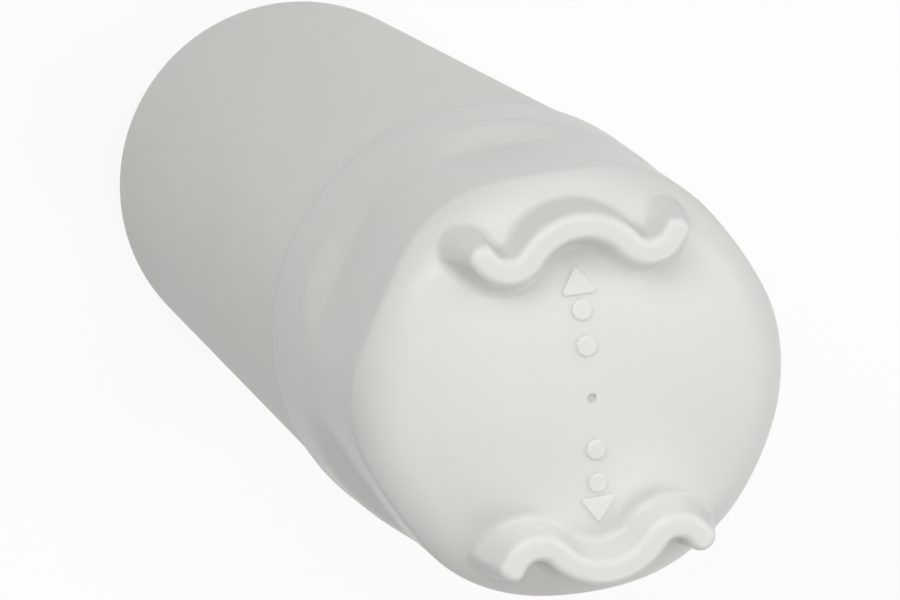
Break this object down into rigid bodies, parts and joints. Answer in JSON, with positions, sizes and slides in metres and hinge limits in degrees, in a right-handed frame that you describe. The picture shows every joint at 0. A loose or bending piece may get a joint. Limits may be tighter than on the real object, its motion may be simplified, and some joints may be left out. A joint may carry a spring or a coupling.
{
  "type": "fridge water filter cartridge",
  "caption": "White cylindrical water filter cartridge with a domed end that carries wavy grip walls, and a sealed neck with bayonet lugs at the other end.",
  "frame": {"origin": "centre of the neck's flat nose, on which the cartridge stands", "axes": "+Z along the cartridge's axis, from the neck up to the grip end; the grip walls lie on the +Y and -Y sides"},
  "size_m": [0.0692, 0.0692, 0.222],
  "materials": {
    "housing": "moulded white polypropylene, semi-gloss",
    "seal": "moulded rubber, satin",
    "carbon": "pressed carbon with a plastic binder, porous",
    "wrap": "nonwoven polypropylene",
    "inner_plastic": "moulded polypropylene, matt"
  },
  "bodies": {
    "root": {"grip_cap": "housing", "body_shell": "housing", "neck_seal_lower": "seal", "neck_seal_upper": "seal", "spout_seal": "seal", "carbon_block": "carbon", "prefilter_wrap": "wrap", "outlet_end_cap": "inner_plastic", "closed_end_cap": "inner_plastic"}
  },
  "joints": []
}
